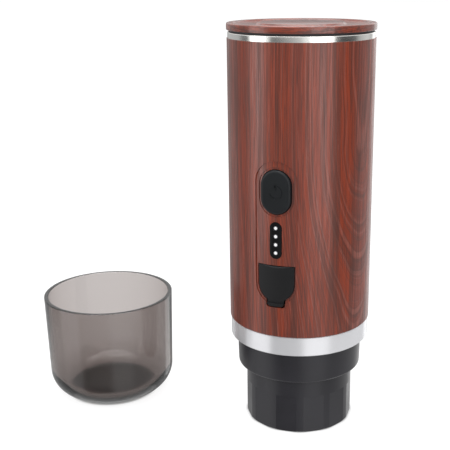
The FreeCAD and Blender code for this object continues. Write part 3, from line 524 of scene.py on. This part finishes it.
# %% Cells
sleeve_blue, bare_can = (0.018, 0.085, 0.300, 1.0), (0.70, 0.69, 0.64, 1.0)
bare_foot, bare_head = 0.4 * MM, 0.9 * MM
cell_low, cell_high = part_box("battery_cell_1")
sleeve, tree, shader, place = start_material("cell_sleeve", Roughness=0.28)
height = node(tree, "SeparateXYZ", {0: place}).outputs[2]
low_end = maths(tree, "LESS_THAN", height, cell_low[2] + bare_foot)
high_end = maths(tree, "GREATER_THAN", height, cell_high[2] - bare_head)
bare = maths(tree, "MAXIMUM", low_end, high_end)
creases = noise(tree, scaled(tree, place, 1.0, 1.0, 0.1), 700.0, 3.0)
tree.links.new(blended(tree, bare, sleeve_blue, bare_can), shader.inputs["Base Color"])
tree.links.new(bare, shader.inputs["Metallic"])
bumped(tree, shader, creases, 0.2, 0.02)
finishes["cell_wrap"] = sleeve
print("a cell is", round((cell_high[2] - cell_low[2]) / MM, 1), "mm tall")

# %% [markdown]
# ## Clear plastic
#
# The cup is clear smoke-grey plastic. It could be a thin tinted sheet. Here its wall has a real thickness
# in the mesh, so light bends as it goes in and out, and a Volume Absorption node takes away light for each
# millimetre of plastic, so the grey deepens by itself where two walls lie behind each other.


# %% Clear parts
def clear(name, colour, roughness, depth, smoke=0.0):
    """Plastic that light passes through. smoke is how fast it darkens with thickness, per millimetre."""
    material, tree, shader, place = start_material(
        name, Base_Color=colour, IOR=1.49, Transmission_Weight=1.0)
    wavy = noise(tree, place, 60.0, 2.0)
    tree.links.new(varied(tree, wavy, roughness, roughness + 0.03), shader.inputs["Roughness"])
    bumped(tree, shader, wavy, 0.15, depth)
    if smoke:
        tint = node(tree, "VolumeAbsorption", {"Color": smoke_brown, "Density": smoke / MM})
        tree.links.new(tint.outputs[0], tree.nodes["Material Output"].inputs["Volume"])
    return material


smoke_brown = (0.46, 0.40, 0.38, 1.0)
finishes["clear_guide"] = clear("clear_guide", (0.92, 0.92, 0.92, 1.0), 0.05, 0.02)
finishes["smoke_plastic"] = clear("smoke_plastic", (0.97, 0.97, 0.97, 1.0), 0.02, 0.05, 0.55)
print(len(finishes), "finishes with the clear parts")

# %% [markdown]
# ## Finishes on the solids
#
# Each solid comes with the name of its finish in its material slot. The name could be looked up by hand
# for fifty solids. A loop reads it and puts the material of that name in its place. A copied name ends in
# a dot and a number, which is cut off first.

# %% Finishes on the solids
used = set()
for solid in nodes.values():
    for material_slot in solid.material_slots:
        finish = material_slot.material.name.split(".")[0]
        material_slot.material = finishes[finish]
        used.add(finish)
print("finishes used:", len(used))

# %% [markdown]
# ## Turned shapes
#
# Anything round about the barrel's axis is drawn as half a section and spun, as a lathe would cut it.
# The edges could be bevelled on the finished mesh. Here the corners are rounded on the section first,
# where a bevel needs to think of one point only.


# %% Lathe
def place_mesh(name, mesh, body, slot, look=None):
    """Makes a piece from a bmesh. It rides on a body and has its slot's finish, unless a look is named."""
    data = bpy.data.meshes.new(name)
    mesh.to_mesh(data)
    mesh.free()
    data.shade_smooth()
    data.set_sharp_from_angle(angle=math.radians(30.0))
    data.materials.append(finishes[look or slot])
    piece = bpy.data.objects.new(name, data)
    bpy.context.scene.collection.objects.link(piece)
    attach(piece, body)
    return piece


def lathe(section, steps, x=0.0, y=0.0, segments=6):
    """Spins a closed section of (radius, height) or (radius, height, round) points, in millimetres."""
    mesh = bmesh.new()
    corners = [mesh.verts.new((point[0] * MM, 0.0, point[1] * MM)) for point in section]
    for i, corner in enumerate(corners):
        if section[i][0] > 0 or section[i - 1][0] > 0:
            mesh.edges.new((corners[i - 1], corner))
    for corner, point in zip(corners, section):
        if len(point) > 2:
            bmesh.ops.bevel(mesh, geom=[corner], offset=point[2] * MM, offset_type="OFFSET",
                            affect="VERTICES", segments=segments, profile=0.5, material=-1)
    bmesh.ops.spin(mesh, geom=mesh.verts[:] + mesh.edges[:], cent=(0, 0, 0), axis=(0, 0, 1),
                   angle=2 * math.pi, steps=steps, use_merge=True)
    bmesh.ops.remove_doubles(mesh, verts=mesh.verts[:], dist=0.001 * MM)
    bmesh.ops.recalc_face_normals(mesh, faces=mesh.faces[:])
    bmesh.ops.translate(mesh, verts=mesh.verts[:], vec=(x * MM, y * MM, 0))
    return mesh


# %% [markdown]
# ## Lid and steel band
#
# The lid's top has a raised rim, a shallow channel and a plain disc. Seen almost from the side, these are
# told only by their edges: each catches a thin line of light. The solids have those edges with small
# rounds, so the lid and the polished band are turned again here with wider and finer ones. The lid's
# lacquer is glossier than the barrel's, so it gets a copy of the wood look with a clear sharp coat. Its
# grain lies flat: a Mapping node turns the place by a right angle before the copied noise reads it.

# %% Lid print
lid_print = wood.copy()
lid_print.name = "lid_print"
tree = lid_print.node_tree
lacquer = tree.nodes["Principled BSDF"].inputs
lacquer["Coat Weight"].default_value = 0.5
lacquer["Coat Roughness"].default_value = 0.05
upright_links = [link for link in tree.links if link.from_node.type == "TEX_COORD"]
upright_place = upright_links[0].from_socket
readers = [link.to_socket for link in upright_links]
lying = node(tree, "Mapping", {0: upright_place, 2: (0.0, math.radians(90.0), 0.0)}).outputs[0]
for socket in readers:
    tree.links.new(lying, socket)
finishes["lid_print"] = lid_print
print("the lid's grain lies flat in", len(readers), "places")

# %% Lid
rim_width, channel_width, channel_depth, edge_round, bevel_round = 3.6, 11.6, 0.8, 0.6, 0.25
flange_gap = 0.2
lid_low, lid_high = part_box("lid_cap")
plug_low, plug_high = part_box("lid_plug")
lid_radius, lid_bottom, lid_top = lid_high[0] / MM, lid_low[2] / MM, lid_high[2] / MM
seat_radius, flange_top = plug_high[0] / MM + flange_gap, plug_high[2] / MM
channel_outer = lid_radius - rim_width
disc_radius = channel_outer - channel_width
channel_floor = lid_top - channel_depth
lid_section = [
    (0.0, flange_top), (seat_radius, flange_top), (seat_radius, lid_bottom),
    (lid_radius, lid_bottom, edge_round / 2), (lid_radius, lid_top, edge_round),
    (channel_outer + channel_depth, lid_top, bevel_round), (channel_outer, channel_floor, bevel_round),
    (disc_radius + channel_depth, channel_floor, bevel_round), (disc_radius, lid_top, bevel_round),
    (0.0, lid_top)]
lid = place_mesh("turned_lid", lathe(lid_section, 180), "lid", "wood_grain", "lid_print")
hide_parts("lid_cap")
print("the lid has", len(lid.data.polygons), "faces")

# %% Steel band
band_height, band_bore, spigot_radius, chassis_radius, band_round = 2.9, 29.4, 32.2, 33.0, 0.5
band_low, band_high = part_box("top_band")
band_radius, band_top, band_foot = band_high[0] / MM, band_high[2] / MM, band_low[2] / MM
shell_top = band_top - band_height
band_section = [
    (band_bore, shell_top), (spigot_radius, shell_top), (spigot_radius, band_foot),
    (chassis_radius, band_foot), (chassis_radius, shell_top), (band_radius, shell_top),
    (band_radius, band_top, band_round), (band_bore, band_top)]
band = place_mesh("polished_band", lathe(band_section, 180), "machine", "steel_band")
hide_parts("top_band")
print("the band has", len(band.data.polygons), "faces")

# %% [markdown]
# ## Screw threads
#
# The lid and the capsule holder screw on, and their threads show once they are off. A thread is a small
# section that climbs as it goes round. The Screw modifier could do it. Here spin does, because it takes a
# climb for each step, and one loop then makes all four starts of the quick coarse thread.

# %% Threads
lead, starts, steps_in_turn = 12.0, 4, 120
thread_sink, foot_half, crest_half = 0.1, 0.7, 0.3
plug_radius, collar_gap, end_margin, flange_margin = 28.6, 0.8, 1.5, 2.0


def thread(radius, rise, low, high):
    """Four ridges that climb round the axis. rise is how far they stand out, or in if it is negative."""
    sink = math.copysign(thread_sink, rise)
    steps = round(steps_in_turn * (high - low) / lead)
    climb = Vector((0, 0, (high - low) / steps * MM))
    mesh = bmesh.new()
    for i in range(starts):
        turn = Matrix.Rotation(2 * math.pi * i / starts, 3, "Z")
        corners = [mesh.verts.new(turn @ Vector(((radius + out) * MM, 0, (low + up) * MM))) for out, up in (
            (-sink, -foot_half), (rise, -crest_half), (rise, crest_half), (-sink, foot_half))]
        section = mesh.faces.new(corners)
        bmesh.ops.spin(mesh, geom=corners + section.edges[:] + [section], cent=(0, 0, 0), axis=(0, 0, 1),
                       dvec=climb, angle=2 * math.pi * (high - low) / lead, steps=steps, use_merge=False)
    bmesh.ops.recalc_face_normals(mesh, faces=mesh.faces[:])
    return mesh


collar_low, collar_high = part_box("brew_head")
holder_low, holder_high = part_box("capsule_holder")
holder_radius = (holder_high[0] - holder_low[0]) / 2 / MM
collar_bore = holder_radius + collar_gap
plug_foot, plug_top = plug_low[2] / MM + end_margin, lid_bottom - flange_margin
thread_low, thread_high = collar_low[2] / MM + end_margin, holder_high[2] / MM - end_margin
for name, radius, rise, low, high, body, slot in (
        ("lid_thread", plug_radius, 0.3, plug_foot, plug_top, "lid", "inner_black_plastic"),
        ("holder_thread", holder_radius, 0.35, thread_low, thread_high, "holder", "black_plastic"),
        ("collar_thread", collar_bore, -0.3, thread_low, thread_high, "machine", "black_plastic")):
    place_mesh(name, thread(radius, rise, low, high), body, slot)
print("a thread climbs", lead, "mm in one turn")

# %% [markdown]
# ## Cup
#
# The cup has a thin wall, a thick floor, a wide round at its foot and small rounds on its rim. It could be
# one surface with a Solidify modifier, but its floor is thicker than its wall. So the whole section is
# spun. Refraction needs it smooth and closed, hence the many steps and the many segments in its rounds.

# %% Cup
taper, wall_width, floor_thickness, foot_round, rim_round = 1.35, 2.2, 4.0, 13.9, 0.45
cup_low, cup_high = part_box("cup")
cup_x, cup_y = ((cup_low[i] + cup_high[i]) / 2 / MM for i in (0, 1))
rim_radius, rim_height = (cup_high[0] - cup_low[0]) / 2 / MM, cup_high[2] / MM
foot_radius = rim_radius - taper
cup_section = [
    (0.0, 0.0), (foot_radius, 0.0, foot_round), (rim_radius, rim_height, rim_round),
    (rim_radius - wall_width, rim_height, rim_round),
    (foot_radius - wall_width, floor_thickness, foot_round - wall_width), (0.0, floor_thickness)]
cup = place_mesh("smoke_cup", lathe(cup_section, 180, cup_x, cup_y, 16), "cup", "smoke_plastic")
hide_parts("cup")
print("the cup has", len(cup.data.polygons), "faces")

# %% [markdown]
# ## Lights on the panel
#
# Four small lamps shine through the black window. They could be lamps behind a clear plate, but the plate
# is nearly black, so a lit disc in its surface with a faint glow round it looks the same and stays clean.

# %% Charge lights
window_low, window_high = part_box("indicator_window")
window_front = window_low[1]
window_middle = (window_low[2] + window_high[2]) / 2
light_spacing = 4.1 * MM


def discs(radius, lift):
    """Four discs on the window, a row upright."""
    mesh = bmesh.new()
    for i in range(4):
        at = Vector((0.0, window_front - lift, window_middle + (i - 1.5) * light_spacing))
        turn = Matrix.Translation(at) @ Matrix.Rotation(math.radians(90), 4, "X")
        bmesh.ops.create_circle(mesh, cap_ends=True, segments=32, radius=radius, matrix=turn)
    return mesh


def glowing(name, colour, strength):
    """A lit surface whose light is a little uneven."""
    material, tree, shader, place = start_material(
        name, Base_Color=(0.02, 0.02, 0.02, 1.0), Roughness=0.2, Emission_Strength=strength)
    cloud = noise(tree, place, 1200.0, 1.0)
    uneven = blended(tree, varied(tree, cloud, 0.0, 0.2), colour, (0.6, 0.6, 0.65, 1.0))
    tree.links.new(uneven, shader.inputs["Emission Color"])
    return material


finishes["lit"] = glowing("charge_light", white, 1.0)
finishes["glow"] = glowing("charge_glow", (0.55, 0.55, 0.62, 1.0), 0.35)
for name, radius, lift, look in (
        ("charge_glow", 1.0 * MM, 0.02 * MM, "glow"), ("charge_lights", 0.72 * MM, 0.04 * MM, "lit")):
    place_mesh(name, discs(radius, lift), "machine", "led_white", look)
print("four lights,", light_spacing / MM, "mm apart")

# %% [markdown]
# ## Power sign
#
# The button carries a plain power sign, moulded a little proud of the rubber. It could be a text
# character made solid, but it is only two strokes. The ring with a gap is a small section spun part of
# the way round, and the bar is a cube, scaled.

# %% Power sign
sign_radius, sign_width, sign_rise, gap = 3.0 * MM, 0.7 * MM, 0.25 * MM, math.radians(70)
button_low, button_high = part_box("power_button")
sign_y = button_low[1]
sign_z = (button_low[2] + button_high[2]) / 2
sign = bmesh.new()
half = sign_width / 2
section = [sign.verts.new((x, y, 0.0)) for x, y in (
    (sign_radius - half, sign_rise), (sign_radius - half, -sign_rise),
    (sign_radius + half, -sign_rise), (sign_radius + half, sign_rise))]
start_face = sign.faces.new(section)
ring_start = Matrix.Rotation(-math.radians(90) - gap / 2, 3, "Y")
bmesh.ops.rotate(sign, verts=section, cent=(0, 0, 0), matrix=ring_start)
bmesh.ops.spin(sign, geom=section + start_face.edges[:] + [start_face], cent=(0, 0, 0), axis=(0, -1, 0),
               angle=-(2 * math.pi - gap), steps=60, use_merge=False)
bar_middle = Matrix.Translation((0, 0, sign_radius * 0.85))
bar_size = Matrix.Diagonal((sign_width, 2 * sign_rise, sign_radius, 1.0))
bmesh.ops.create_cube(sign, size=1.0, matrix=bar_middle @ bar_size)
bmesh.ops.translate(sign, verts=sign.verts[:], vec=(0, sign_y, sign_z))
bmesh.ops.recalc_face_normals(sign, faces=sign.faces[:])
sign_piece = place_mesh("power_sign", sign, "button", "button_rubber")
print("the sign has", len(sign_piece.data.polygons), "faces")

# %% [markdown]
# ## Finish
#
# The dressed model must stay as large as the solids. The Standard view keeps each colour about as it was
# given.

# %% Finish
bpy.context.scene.view_settings.view_transform = "Standard"
